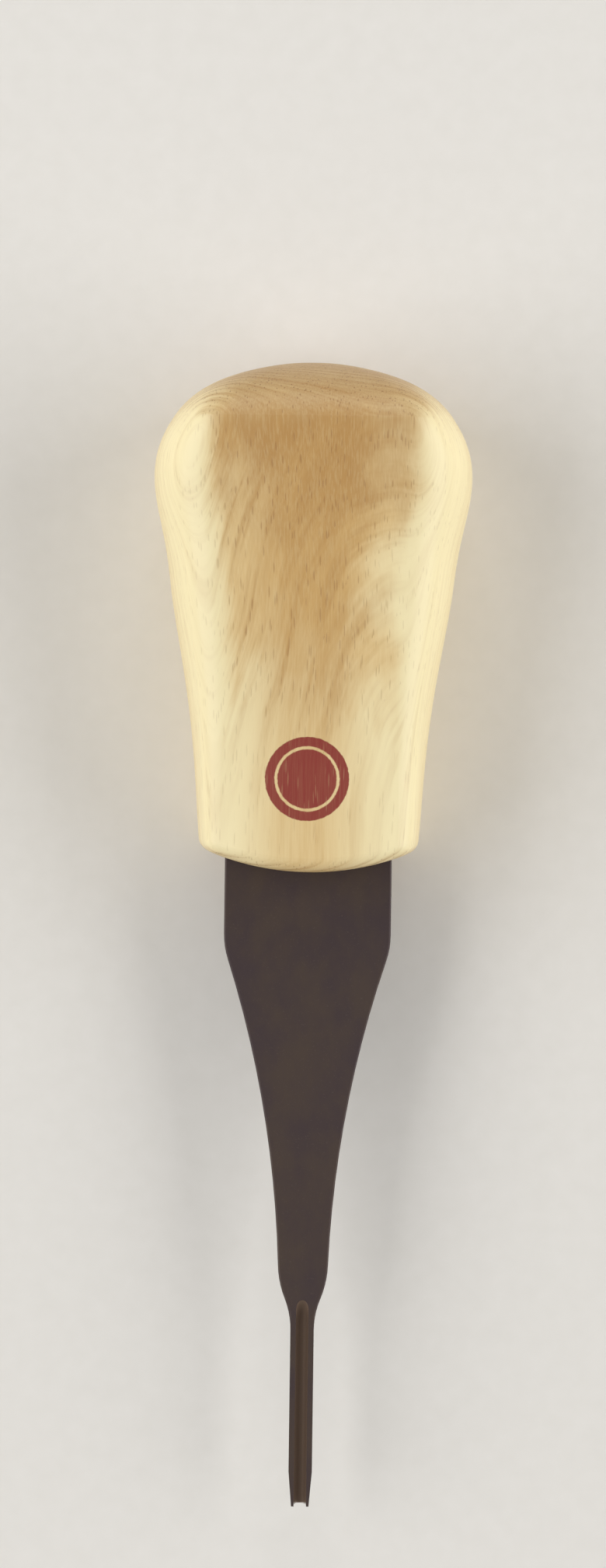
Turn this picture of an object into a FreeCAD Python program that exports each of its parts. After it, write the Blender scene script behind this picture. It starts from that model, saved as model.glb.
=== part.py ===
import FreeCAD, Part
import Sketcher
import math
import os

# Palm gouge: a one-piece wooden palm handle, one spring-steel blade and the epoxy between them.
# Lengths are millimetres. The tool lies on its flat underside: +Z is up, the axis runs along Y,
# the cutting tip points to -Y and the butt to +Y. The origin is under the middle of the tool.

# A sketch knows the start, end and centre of a curve as 1, 2 and 3, and its own axes as -1 and -2
START, END, CENTRE = range(1, 4)
AXIS_LEVEL, AXIS_UPRIGHT = range(-1, -3, -1)
ORIGIN = (AXIS_LEVEL, START)
# Angles in radians and in degrees, and the difference below which two places count as the same
QUARTER = math.pi / 2
FULL_TURN = 360
SLACK = 1e-6

# The driving sizes: each goes into the sheet under its own name.
sizes = {
    # Handle sizes
    "handle_length": 61.0,  # handle, front apex to butt apex
    "handle_half_width": 19.1,  # half the widest width of the bulb
    "handle_thickness": 24.6,  # flat underside to the top of the bulb
    "front_arc_radius": 32.0,  # arc of the front end, seen from above
    "front_edge_radius": 1.8,  # softened edge round the front end
    "front_waste_share": 0.05,  # wood cut off ahead of the front apex, share of handle_length
    "flat_margin_share": 0.02,  # flattening cutter beyond the handle all round, share of handle_length
    "cut_overrun": 3.0,  # how far a cutter passes beyond the work
    # Blade sizes
    "blade_thickness": 1.8,  # steel plate
    "blade_height": 10.2,  # underside of the handle to the middle of the plate
    "blade_reach": 76.4,  # front apex of the handle to the cutting tip
    "shank_half_width": 10.04,  # half the parallel shank and tang
    "shank_length": 9.2,  # front apex to the corner where the taper starts
    "shank_corner_radius": 10.0,  # that corner, rounded
    "waist_half_width": 3.02,  # half width where the taper ends and the shoulder starts
    "waist_place": 47.4,  # front apex to the end of the taper
    "waist_arc_radius": 133.0,  # hollow arc of each tapered edge
    "shoulder_length": 7.8,  # end of the taper to the start of the stem
    "shoulder_root_radius": 10.0,  # hollow arc that ends each shoulder in the edge of the stem
    "stem_half_width": 1.41,  # half the narrow stem
    "stem_root": 1.5,  # how far back the stem runs into the plate, so that their edges merge
    "stem_blend_length": 6.0,  # length over which the underside of the stem turns round
    "stem_round": 1.2,  # rounding of the underside of the stem
    "plate_edge_round": 0.25,  # tumbled edges of the plate
    "channel_radius": 0.75,  # half the inside width of the channel
    "channel_wall": 0.6,  # steel under the bottom of the channel
    "channel_lead": 0.8,  # start of the stem back to where the channel reaches full depth
    "channel_wheel_radius": 4.0,  # wheel that leaves the run-out of the channel
    "bevel_length": 4.2,  # outside bevel behind the cutting edge
    "edge_land": 0.3,  # steel left outside the channel at the cutting edge
    "nose_rake": 0.5,  # how far the wings lead the bottom of the channel
    # Tang and bond sizes
    "tang_length": 31.0,  # front apex to the end of the tang
    "tang_corner_radius": 3.0,  # rounded end corners of the tang
    "bond_gap": 0.2,  # epoxy on each side of the tang
    "key_hole_radius": 2.0,  # two holes through the tang that the epoxy fills
    "key_hole_first": 11.0,  # front apex to the first hole
    "key_hole_spacing": 10.0,  # between the two holes
    "glue_recess": 2.2,  # front apex to the front of the epoxy
}

# Cross-sections of the handle, from front to butt. Each row gives shares: place of handle_length,
# half width of handle_half_width, then top, bottom and widest height of handle_thickness, then, of
# this section's own half width, the radii of the upper corner, the bulging side, the lower corner
# and the crowned top. A bottom below zero is the wood sanded off to make the flat underside.
section_columns = ("place", "width", "top", "bottom", "belly",
                   "upper_round", "side_round", "lower_round", "crown")
section_shares = (
    (-0.020, 0.660, 0.815, -0.016, 0.400, 0.210, 2.80, 0.22, 2.4),
    (0.150, 0.713, 0.850, -0.016, 0.417, 0.225, 2.08, 0.23, 2.9),
    (0.300, 0.757, 0.882, -0.016, 0.433, 0.240, 1.66, 0.24, 4.2),
    (0.430, 0.822, 0.912, -0.016, 0.448, 0.255, 1.38, 0.25, 7.0),
    (0.560, 0.890, 0.940, -0.016, 0.462, 0.270, 1.18, 0.26, 12.0),
    (0.680, 0.954, 0.966, -0.016, 0.475, 0.280, 1.07, 0.27, 20.0),
    (0.775, 1.000, 0.986, -0.016, 0.485, 0.280, 1.05, 0.27, 26.0),
    (0.840, 0.966, 0.996, -0.015, 0.490, 0.275, 1.13, 0.27, 26.0),
    (0.886, 0.892, 1.000, -0.008, 0.496, 0.280, 1.26, 0.28, 20.0),
    (0.928, 0.779, 0.950, 0.055, 0.502, 0.320, 1.26, 0.33, 8.0),
    (0.962, 0.608, 0.852, 0.150, 0.501, 0.400, 1.08, 0.40, 4.0),
    (0.985, 0.391, 0.722, 0.278, 0.500, 0.460, 0.97, 0.46, 2.5),
    (0.997, 0.190, 0.611, 0.389, 0.500, 0.500, 1.05, 0.50, 1.8),
    (1.000, 0.090, 0.553, 0.447, 0.500, 0.500, 1.05, 0.50, 1.8),
)
# The top is highest where it ends in a soft straight crease and the butt dome begins.
top_shares = [row[section_columns.index("top")] for row in section_shares]
crease_section = top_shares.index(max(top_shares)) + 1
for section_number, row in enumerate(section_shares, start=1):
    for column, share in zip(section_columns, row):
        sizes[f"section{section_number}_{column}_share"] = share

doc = FreeCAD.newDocument("PalmGouge")
sheet = doc.addObject("Spreadsheet::Sheet", "Sizes")
for sheet_row, (name, number) in enumerate(sizes.items(), start=1):
    sheet.set(f"A{sheet_row}", name)
    sheet.set(f"B{sheet_row}", str(number))
    sheet.setAlias(f"B{sheet_row}", name)
doc.recompute()


def worth(expression):
    """The number that an expression on the sheet stands for."""
    return float(sheet.evalExpression(expression.replace("Sizes.", "")))


FRONT = "((Sizes.blade_reach - Sizes.handle_length) / 2)"
TIP = f"({FRONT} - Sizes.blade_reach)"
STEM_START = f"({FRONT} - Sizes.waist_place - Sizes.shoulder_length)"
CHANNEL_END = f"({STEM_START} + Sizes.channel_lead)"
PLATE_TOP = "(Sizes.blade_height + Sizes.blade_thickness / 2)"
PLATE_BOTTOM = "(Sizes.blade_height - Sizes.blade_thickness / 2)"
CHANNEL_BOTTOM = f"({PLATE_BOTTOM} + Sizes.channel_wall)"
SLOT_HALF_WIDTH = "(Sizes.shank_half_width + Sizes.bond_gap)"
SLOT_BOTTOM = f"({PLATE_BOTTOM} - Sizes.bond_gap)"
SLOT_HEIGHT = "(Sizes.blade_thickness + 2 * Sizes.bond_gap)"


def ahead(name):
    """Place along Y of something measured from the front apex towards the tip."""
    return f"({FRONT} - Sizes.{name})"


def behind(name):
    """Place along Y of something measured from the front apex towards the butt."""
    return f"({FRONT} + Sizes.{name})"


def new_body(name):
    body = doc.addObject("PartDesign::Body", name)
    body.Label = name
    return body


def new_sketch(body, name, role, shift=None):
    """A sketch on one of the body's own origin planes, moved along its normal by an expression."""
    plane = [feature for feature in body.Origin.OriginFeatures if feature.Role == role][0]
    sketch = body.newObject("Sketcher::SketchObject", name)
    sketch.AttachmentSupport = [(plane, "")]
    sketch.MapMode = "FlatFace"
    if shift:
        sketch.setExpression(".AttachmentOffset.Base.z", shift)
    return sketch


def bind(sketch, kind, parts, expression):
    """Add a dimension to a sketch and tie it to an expression on the sheet."""
    index = sketch.addConstraint(Sketcher.Constraint(kind, *parts, worth(expression)))
    sketch.setExpression(f"Constraints[{index}]", expression)


def tie(sketch, kind, *parts):
    return sketch.addConstraint(Sketcher.Constraint(kind, *parts))


def at(x, y):
    return FreeCAD.Vector(x, y, 0)


def line(sketch, start, end):
    return sketch.addGeometry(Part.LineSegment(at(*start), at(*end)))


def arc(sketch, centre, radius, first_angle, last_angle):
    circle = Part.Circle(at(*centre), FreeCAD.Vector(0, 0, 1), radius)
    return sketch.addGeometry(Part.ArcOfCircle(circle, first_angle, last_angle))


def chain(sketch, curves):
    """Join the curves end to start in a ring."""
    for curve, following in zip(curves, curves[1:] + curves[:1]):
        tie(sketch, "Coincident", curve, END, following, START)


def smooth_chain(sketch, curves):
    """Join the curves end to start in a ring, each running smoothly into the next."""
    for curve, following in zip(curves, curves[1:] + curves[:1]):
        tie(sketch, "Tangent", curve, END, following, START)


def volume_after(feature, before, grows):
    """The body's volume with this feature, which has to add or remove material as grows says."""
    doc.recompute()
    change = feature.Shape.Volume - before
    if change == 0 or (change > 0) != grows:
        raise RuntimeError(f"{feature.Name} changed the volume by {change:.3f}")
    return feature.Shape.Volume


def is_level(edge):
    """True for an edge that lies in one level plane."""
    return edge.BoundBox.ZLength < SLACK


def channel_outline(sketch, top):
    """The round-bottomed section of the channel, closed at the height that top gives."""
    inside = worth("Sizes.channel_radius")
    centre_z = worth(CHANNEL_BOTTOM) + inside
    top_z = worth(top)
    bottom = arc(sketch, (0, centre_z), inside, 2 * QUARTER, 4 * QUARTER)
    right = line(sketch, (inside, centre_z), (inside, top_z))
    lid = line(sketch, (inside, top_z), (-inside, top_z))
    left = line(sketch, (-inside, top_z), (-inside, centre_z))
    tie(sketch, "Tangent", left, END, bottom, START)
    tie(sketch, "Tangent", bottom, END, right, START)
    tie(sketch, "Coincident", right, END, lid, START)
    tie(sketch, "Coincident", lid, END, left, START)
    tie(sketch, "Vertical", right)
    tie(sketch, "Vertical", left)
    tie(sketch, "Horizontal", lid)
    tie(sketch, "PointOnObject", bottom, CENTRE, AXIS_UPRIGHT)
    bind(sketch, "Radius", (bottom,), "Sizes.channel_radius")
    bind(sketch, "DistanceY", (*ORIGIN, bottom, CENTRE), f"{CHANNEL_BOTTOM} + Sizes.channel_radius")
    bind(sketch, "DistanceY", (*ORIGIN, lid, START), top)


def corner_centre(crown, crown_radius, side, side_radius, corner_radius):
    """Centre of the corner arc that lies to the right inside a crown and a side, and runs
    smoothly into both."""
    from_crown, from_side = crown_radius - corner_radius, side_radius - corner_radius
    apart = side - crown
    along = (from_crown ** 2 - from_side ** 2 + apart.Length ** 2) / (2 * apart.Length)
    off = math.sqrt(from_crown ** 2 - along ** 2)
    toward = apart / apart.Length
    return crown + toward * along + at(toward.y, -toward.x) * off


def handle_section(body, number):
    """One cross-section of the handle: flat below, bulging sides, crowned top, round corners."""
    share = {column: f"Sizes.section{number}_{column}_share" for column in section_columns}
    place = f"({FRONT} + Sizes.handle_length * {share['place']})"
    half_width = f"Sizes.handle_half_width * {share['width']}"
    top = f"Sizes.handle_thickness * {share['top']}"
    bottom = f"Sizes.handle_thickness * {share['bottom']}"
    belly = f"Sizes.handle_thickness * {share['belly']}"
    upper = f"{half_width} * {share['upper_round']}"
    side = f"{half_width} * {share['side_round']}"
    lower = f"{half_width} * {share['lower_round']}"
    crown = f"{half_width} * {share['crown']}"

    sketch = new_sketch(body, f"HandleSection{number}", "XZ_Plane", f"-{place}")
    low, upper_r, side_r = worth(bottom), worth(upper), worth(side)
    lower_r, crown_r = worth(lower), worth(crown)
    crown_at = at(0, worth(top) - crown_r)
    side_at = at(worth(half_width) - side_r, worth(belly))
    upper_at = corner_centre(crown_at, crown_r, side_at, side_r, upper_r)
    lean = math.atan2(upper_at.x, upper_at.y - crown_at.y)
    rise = math.atan2(upper_at.y - side_at.y, upper_at.x - side_at.x)
    lower_z = low + lower_r
    fall = math.asin((side_at.y - lower_z) / (side_r - lower_r))
    heel = side_at.x + (side_r - lower_r) * math.cos(fall)

    under = line(sketch, (-heel, low), (heel, low))
    right_heel = arc(sketch, (heel, lower_z), lower_r, -QUARTER, -fall)
    right_side = arc(sketch, (side_at.x, side_at.y), side_r, -fall, rise)
    right_shoulder = arc(sketch, (upper_at.x, upper_at.y), upper_r, rise, QUARTER - lean)
    over = arc(sketch, (0, crown_at.y), crown_r, QUARTER - lean, QUARTER + lean)
    left_shoulder = arc(sketch, (-upper_at.x, upper_at.y), upper_r, QUARTER + lean, 2 * QUARTER - rise)
    left_side = arc(sketch, (-side_at.x, side_at.y), side_r, 2 * QUARTER - rise, 2 * QUARTER + fall)
    left_heel = arc(sketch, (-heel, lower_z), lower_r, 2 * QUARTER + fall, 3 * QUARTER)
    smooth_chain(sketch, [under, right_heel, right_side, right_shoulder, over, left_shoulder,
                          left_side, left_heel])

    tie(sketch, "Horizontal", under)
    tie(sketch, "PointOnObject", over, CENTRE, AXIS_UPRIGHT)
    tie(sketch, "Equal", right_shoulder, left_shoulder)
    tie(sketch, "Equal", right_heel, left_heel)
    tie(sketch, "Equal", right_side, left_side)
    tie(sketch, "Symmetric", right_side, CENTRE, left_side, CENTRE, AXIS_UPRIGHT)
    bind(sketch, "DistanceX", (*ORIGIN, right_side, CENTRE), f"{half_width} - {side}")
    bind(sketch, "DistanceY", (*ORIGIN, right_side, CENTRE), belly)
    bind(sketch, "DistanceY", (*ORIGIN, under, START), bottom)
    bind(sketch, "Radius", (right_heel,), lower)
    bind(sketch, "Radius", (right_side,), side)
    bind(sketch, "Radius", (right_shoulder,), upper)
    bind(sketch, "Radius", (over,), crown)
    bind(sketch, "DistanceY", (*ORIGIN, over, CENTRE), f"{top} - {crown}")
    return sketch


def front_outline(body):
    """Everything ahead of the curved front end, seen from above."""
    sketch = new_sketch(body, "FrontArc", "XY_Plane", "-Sizes.cut_overrun")
    reach_to = "Sizes.handle_half_width * Sizes.section1_width_share + Sizes.cut_overrun"
    ahead_to = f"{FRONT} - Sizes.handle_length * Sizes.front_waste_share"
    reach = worth(reach_to)
    radius = worth("Sizes.front_arc_radius")
    centre_y = worth(FRONT) + radius
    spread = math.asin(reach / radius)
    edge_y = centre_y - radius * math.cos(spread)
    ahead_y = worth(ahead_to)
    curve = arc(sketch, (0, centre_y), radius, 3 * QUARTER - spread, 3 * QUARTER + spread)
    right = line(sketch, (reach, edge_y), (reach, ahead_y))
    base = line(sketch, (reach, ahead_y), (-reach, ahead_y))
    left = line(sketch, (-reach, ahead_y), (-reach, edge_y))
    chain(sketch, [curve, right, base, left])
    tie(sketch, "Vertical", right)
    tie(sketch, "Vertical", left)
    tie(sketch, "PointOnObject", curve, CENTRE, AXIS_UPRIGHT)
    tie(sketch, "Symmetric", right, END, left, START, AXIS_UPRIGHT)
    bind(sketch, "Radius", (curve,), "Sizes.front_arc_radius")
    bind(sketch, "DistanceY", (*ORIGIN, curve, CENTRE), f"{FRONT} + Sizes.front_arc_radius")
    bind(sketch, "DistanceY", (*ORIGIN, base, START), ahead_to)
    bind(sketch, "DistanceX", (*ORIGIN, right, START), reach_to)
    return sketch


def underside_outline(body):
    """A rectangle under the whole handle, level with the flat underside."""
    sketch = new_sketch(body, "UndersidePlan", "XY_Plane")
    margin = "Sizes.handle_length * Sizes.flat_margin_share"
    across_to = f"Sizes.handle_half_width + {margin}"
    front_to = f"{FRONT} - {margin}"
    back_to = f"{FRONT} + Sizes.handle_length + {margin}"
    across = worth(across_to)
    front_y = worth(front_to)
    back_y = worth(back_to)
    front = line(sketch, (-across, front_y), (across, front_y))
    right = line(sketch, (across, front_y), (across, back_y))
    back = line(sketch, (across, back_y), (-across, back_y))
    left = line(sketch, (-across, back_y), (-across, front_y))
    chain(sketch, [front, right, back, left])
    tie(sketch, "Vertical", right)
    tie(sketch, "Vertical", left)
    tie(sketch, "Horizontal", back)
    tie(sketch, "Symmetric", front, START, front, END, AXIS_UPRIGHT)
    bind(sketch, "DistanceX", (*ORIGIN, front, END), across_to)
    bind(sketch, "DistanceY", (*ORIGIN, front, END), front_to)
    bind(sketch, "DistanceY", (*ORIGIN, back, START), back_to)
    return sketch


def slot_outline(body):
    """The slot for the tang, seen from the front: the tang and the bond gap round it."""
    sketch = new_sketch(body, "TangSlot", "XZ_Plane", f"-{FRONT}")
    across = worth(SLOT_HALF_WIDTH)
    low = worth(SLOT_BOTTOM)
    high = low + worth(SLOT_HEIGHT)
    bottom = line(sketch, (-across, low), (across, low))
    right = line(sketch, (across, low), (across, high))
    top = line(sketch, (across, high), (-across, high))
    left = line(sketch, (-across, high), (-across, low))
    chain(sketch, [bottom, right, top, left])
    tie(sketch, "Vertical", right)
    tie(sketch, "Horizontal", top)
    tie(sketch, "Vertical", left)
    tie(sketch, "Symmetric", bottom, START, bottom, END, AXIS_UPRIGHT)
    bind(sketch, "DistanceX", (*ORIGIN, bottom, END), SLOT_HALF_WIDTH)
    bind(sketch, "DistanceY", (*ORIGIN, bottom, END), SLOT_BOTTOM)
    bind(sketch, "DistanceY", (right, START, right, END), SLOT_HEIGHT)
    return sketch


def build_handle():
    """Wooden handle: shaped through its sections, front end cut and softened, underside sanded
    flat, then slotted for the tang."""
    body = new_body("handle")
    sections = [handle_section(body, number) for number in range(1, len(section_shares) + 1)]
    doc.recompute()
    volume = 0
    for name, stretch in (("Grip", sections[:crease_section]), ("Butt", sections[crease_section - 1:])):
        loft = body.newObject("PartDesign::AdditiveLoft", name)
        loft.Profile = stretch[0]
        loft.Sections = stretch[1:]
        volume = volume_after(loft, volume, True)

    front_cut = body.newObject("PartDesign::Pocket", "FrontCut")
    front_cut.Profile = front_outline(body)
    front_cut.Type = "ThroughAll"
    front_cut.Reversed = True
    volume = volume_after(front_cut, volume, False)

    front_face = min(front_cut.Shape.Faces, key=lambda face: face.CenterOfMass.y)
    rim = [f"Edge{number}" for number, edge in enumerate(front_cut.Shape.Edges, start=1)
           if any(edge.isSame(side) for side in front_face.Edges)]
    soft = body.newObject("PartDesign::Fillet", "FrontEdge")
    soft.Base = (front_cut, rim)
    soft.setExpression("Radius", "Sizes.front_edge_radius")
    volume = volume_after(soft, volume, False)

    flat = body.newObject("PartDesign::Pocket", "FlatUnderside")
    flat.Profile = underside_outline(body)
    flat.Type = "Length"
    flat.setExpression("Length", "Sizes.cut_overrun")
    volume = volume_after(flat, volume, False)

    mortise = body.newObject("PartDesign::Pocket", "TangMortise")
    mortise.Profile = slot_outline(body)
    mortise.Type = "Length"
    mortise.setExpression("Length", "Sizes.tang_length + Sizes.bond_gap")
    volume_after(mortise, volume, False)
    return body


def stem_section(body, name, place, half_width, depth, corner):
    """One section of the stem: flat on top, its lower corners rounded."""
    sketch = new_sketch(body, name, "XZ_Plane", f"-{place}")
    wide = worth(half_width)
    high = worth(PLATE_TOP)
    low = high - worth(depth)
    radius = worth(corner)
    heel = wide - radius
    over = line(sketch, (wide, high), (-wide, high))
    left_side = line(sketch, (-wide, high), (-wide, low + radius))
    left_heel = arc(sketch, (-heel, low + radius), radius, 2 * QUARTER, 3 * QUARTER)
    under = line(sketch, (-heel, low), (heel, low))
    right_heel = arc(sketch, (heel, low + radius), radius, 3 * QUARTER, 4 * QUARTER)
    right_side = line(sketch, (wide, low + radius), (wide, high))
    for curve, following in ((left_side, left_heel), (left_heel, under), (under, right_heel),
                             (right_heel, right_side)):
        tie(sketch, "Tangent", curve, END, following, START)
    tie(sketch, "Coincident", right_side, END, over, START)
    tie(sketch, "Coincident", over, END, left_side, START)
    tie(sketch, "Horizontal", under)
    tie(sketch, "Vertical", right_side)
    tie(sketch, "Vertical", left_side)
    tie(sketch, "Equal", right_heel, left_heel)
    tie(sketch, "Symmetric", over, START, over, END, AXIS_UPRIGHT)
    bind(sketch, "DistanceX", (*ORIGIN, right_side, START), half_width)
    bind(sketch, "DistanceY", (*ORIGIN, over, START), PLATE_TOP)
    bind(sketch, "DistanceY", (under, START, over, START), depth)
    bind(sketch, "Radius", (right_heel,), corner)
    return sketch


def edge_arcs():
    """Centre, radius and end angles of the three arcs along the right edge of the blade: the
    hollow taper, the full shoulder, which starts smoothly from it, and the hollow root, which ends
    along the stem."""
    corner = at(worth("Sizes.shank_half_width"), worth(ahead("shank_length")))
    waist = at(worth("Sizes.waist_half_width"), worth(ahead("waist_place")))
    hollow = worth("Sizes.waist_arc_radius")
    chord = waist - corner
    outward = at(-chord.y, chord.x).normalize()
    taper_centre = (corner + waist) / 2 + outward * math.sqrt(hollow ** 2 - (chord.Length / 2) ** 2)

    root_radius = worth("Sizes.shoulder_root_radius")
    root_centre = at(worth("Sizes.stem_half_width") + root_radius, worth(STEM_START))
    inward = (waist - taper_centre).normalize()
    gap = waist - root_centre
    full = (gap.Length ** 2 - root_radius ** 2) / (2 * (root_radius - inward.dot(gap)))
    full_centre = waist + inward * full
    meeting = math.atan2(root_centre.y - full_centre.y, root_centre.x - full_centre.x)

    def angle(point, centre):
        return math.atan2(point.y - centre.y, point.x - centre.x)

    return (
        (taper_centre, hollow, angle(corner, taper_centre) % (4 * QUARTER),
         angle(waist, taper_centre) % (4 * QUARTER)),
        (full_centre, full, meeting, angle(waist, full_centre)),
        (root_centre, root_radius, meeting + 2 * QUARTER, 2 * QUARTER),
    )


def side_arc(plan, sign, centre, radius, first, last):
    """An arc of the right edge of the blade, or its mirror image on the left edge."""
    if sign > 0:
        return arc(plan, (centre.x, centre.y), radius, first, last)
    return arc(plan, (-centre.x, centre.y), radius, 2 * QUARTER - last, 2 * QUARTER - first)


def blade_side(plan, sign):
    """One long edge of the blade: rounded tang corner, shank, hollow taper, shoulder and root."""
    shank = worth("Sizes.shank_half_width")
    corner_r = worth("Sizes.tang_corner_radius")
    corner_centre = at(shank - corner_r, worth(behind("tang_length")) - corner_r)
    first, last = (START, END) if sign > 0 else (END, START)
    corner = side_arc(plan, sign, corner_centre, corner_r, 0, QUARTER)
    taper, shoulder, root = [side_arc(plan, sign, *curve) for curve in edge_arcs()]
    taper_y = worth(ahead("shank_length"))
    straight = line(plan, (sign * shank, corner_centre.y), (sign * shank, taper_y))
    tie(plan, "Tangent", corner, first, straight, START)
    tie(plan, "Coincident", straight, END, taper, first)
    tie(plan, "Tangent", taper, last, shoulder, last)
    tie(plan, "Tangent", shoulder, first, root, first)
    tie(plan, "Horizontal", root, CENTRE, root, last)
    tie(plan, "Vertical", straight)
    bind(plan, "Radius", (corner,), "Sizes.tang_corner_radius")
    bind(plan, "Radius", (taper,), "Sizes.waist_arc_radius")
    bind(plan, "Radius", (root,), "Sizes.shoulder_root_radius")
    return {"back": (corner, last), "shank": (straight, END), "waist": (taper, last),
            "stem": (root, last)}


def blade_outline(body):
    """The plate seen from above, from the end of the tang to the start of the stem."""
    plan = new_sketch(body, "BladePlan", "XY_Plane", PLATE_BOTTOM)
    tang_half = worth("Sizes.shank_half_width - Sizes.tang_corner_radius")
    stem = worth("Sizes.stem_half_width")
    back_y = worth(behind("tang_length"))
    stem_y = worth(STEM_START)
    right = blade_side(plan, 1)
    left = blade_side(plan, -1)
    back = line(plan, (tang_half, back_y), (-tang_half, back_y))
    nose = line(plan, (stem, stem_y), (-stem, stem_y))
    tie(plan, "Tangent", *right["back"], back, START)
    tie(plan, "Tangent", back, END, *left["back"])
    tie(plan, "Coincident", *right["stem"], nose, START)
    tie(plan, "Coincident", nose, END, *left["stem"])
    tie(plan, "Horizontal", back)
    for point in ("shank", "waist", "stem"):
        tie(plan, "Symmetric", *right[point], *left[point], AXIS_UPRIGHT)
    bind(plan, "DistanceY", (*ORIGIN, back, START), behind("tang_length"))
    bind(plan, "DistanceX", (*ORIGIN, *right["shank"]), "Sizes.shank_half_width")
    bind(plan, "DistanceY", (*ORIGIN, *right["shank"]), ahead("shank_length"))
    bind(plan, "DistanceX", (*ORIGIN, *right["waist"]), "Sizes.waist_half_width")
    bind(plan, "DistanceY", (*ORIGIN, *right["waist"]), ahead("waist_place"))
    bind(plan, "DistanceX", (*ORIGIN, *right["stem"]), "Sizes.stem_half_width")
    bind(plan, "DistanceY", (*ORIGIN, *right["stem"]), STEM_START)
    return plan


def add_plate(body):
    """The flat plate with its tumbled edges and the two key holes in the tang."""
    plate = body.newObject("PartDesign::Pad", "Plate")
    plate.Profile = blade_outline(body)
    plate.setExpression("Length", "Sizes.blade_thickness")
    volume = volume_after(plate, 0, True)

    corner_y = worth(ahead("shank_length"))
    corners = [f"Edge{number}" for number, edge in enumerate(plate.Shape.Edges, start=1)
               if not is_level(edge) and abs(edge.CenterOfMass.y - corner_y) < SLACK]
    eased = body.newObject("PartDesign::Fillet", "ShankCorners")
    eased.Base = (plate, corners)
    eased.setExpression("Radius", "Sizes.shank_corner_radius")
    volume = volume_after(eased, volume, False)

    behind_nose = worth(STEM_START) + worth("Sizes.plate_edge_round")
    long_edges = [f"Edge{number}" for number, edge in enumerate(eased.Shape.Edges, start=1)
                  if is_level(edge) and edge.BoundBox.YMax > behind_nose]
    soft = body.newObject("PartDesign::Fillet", "PlateEdges")
    soft.Base = (eased, long_edges)
    soft.setExpression("Radius", "Sizes.plate_edge_round")
    volume = volume_after(soft, volume, False)

    keys = new_sketch(body, "KeyHoles", "XY_Plane", PLATE_BOTTOM)
    key_radius = worth("Sizes.key_hole_radius")
    first_place = behind("key_hole_first")
    for place in (first_place, f"({first_place} + Sizes.key_hole_spacing)"):
        hole = Part.Circle(at(0, worth(place)), FreeCAD.Vector(0, 0, 1), key_radius)
        ring = keys.addGeometry(hole)
        tie(keys, "PointOnObject", ring, CENTRE, AXIS_UPRIGHT)
        bind(keys, "DistanceY", (*ORIGIN, ring, CENTRE), place)
        bind(keys, "Radius", (ring,), "Sizes.key_hole_radius")
    key_cut = body.newObject("PartDesign::Pocket", "KeyCut")
    key_cut.Profile = keys
    key_cut.Type = "ThroughAll"
    key_cut.Reversed = True
    return volume_after(key_cut, volume, False)


def add_stem(body, volume):
    """The narrow stem: its underside turns round, then its outside is bevelled to the tip."""
    stem_half = "Sizes.stem_half_width"
    depth = "Sizes.blade_thickness"
    tip_half = "(Sizes.channel_radius + Sizes.edge_land)"
    tip_depth = "(Sizes.blade_thickness - Sizes.channel_wall + Sizes.edge_land)"
    stations = (
        ("StemRoot", f"({STEM_START} + Sizes.stem_root)", stem_half, depth, "Sizes.plate_edge_round"),
        ("StemStart", STEM_START, stem_half, depth, "Sizes.plate_edge_round"),
        ("StemRound", f"({STEM_START} - Sizes.stem_blend_length)", stem_half, depth,
         "Sizes.stem_round"),
        ("BevelStart", f"({TIP} + Sizes.bevel_length)", stem_half, depth, "Sizes.stem_round"),
        ("Tip", TIP, tip_half, tip_depth, "Sizes.channel_radius"),
    )
    sections = [stem_section(body, *station) for station in stations]
    doc.recompute()
    stem = body.newObject("PartDesign::AdditiveLoft", "Stem")
    stem.Profile = sections[0]
    stem.Sections = sections[1:]
    stem.Ruled = True
    return volume_after(stem, volume, True)


def cut_channel(body, volume):
    """The channel: straight from the tip, then the run-out that a grinding wheel leaves."""
    trough = new_sketch(body, "ChannelSection", "XZ_Plane", f"-({TIP} - Sizes.cut_overrun)")
    channel_outline(trough, f"{PLATE_TOP} + Sizes.cut_overrun")
    channel = body.newObject("PartDesign::Pocket", "Channel")
    channel.Profile = trough
    channel.Type = "Length"
    channel.setExpression("Length", f"{CHANNEL_END} - {TIP} + Sizes.cut_overrun")
    volume = volume_after(channel, volume, False)

    axle_height = f"{CHANNEL_BOTTOM} + Sizes.channel_wheel_radius"
    wheel = new_sketch(body, "WheelSection", "XZ_Plane", f"-{CHANNEL_END}")
    channel_outline(wheel, axle_height)
    reach = worth("Sizes.channel_radius")
    height = worth(axle_height)
    axle = wheel.addGeometry(Part.LineSegment(at(-reach, height), at(reach, height)), True)
    tie(wheel, "Symmetric", axle, START, axle, END, AXIS_UPRIGHT)
    bind(wheel, "DistanceY", (*ORIGIN, axle, START), axle_height)
    bind(wheel, "DistanceX", (*ORIGIN, axle, END), "Sizes.channel_radius")
    run_out = body.newObject("PartDesign::Groove", "ChannelRunOut")
    run_out.Profile = wheel
    run_out.ReferenceAxis = (wheel, ["Axis0"])
    run_out.Angle = FULL_TURN
    return volume_after(run_out, volume, False)


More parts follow.
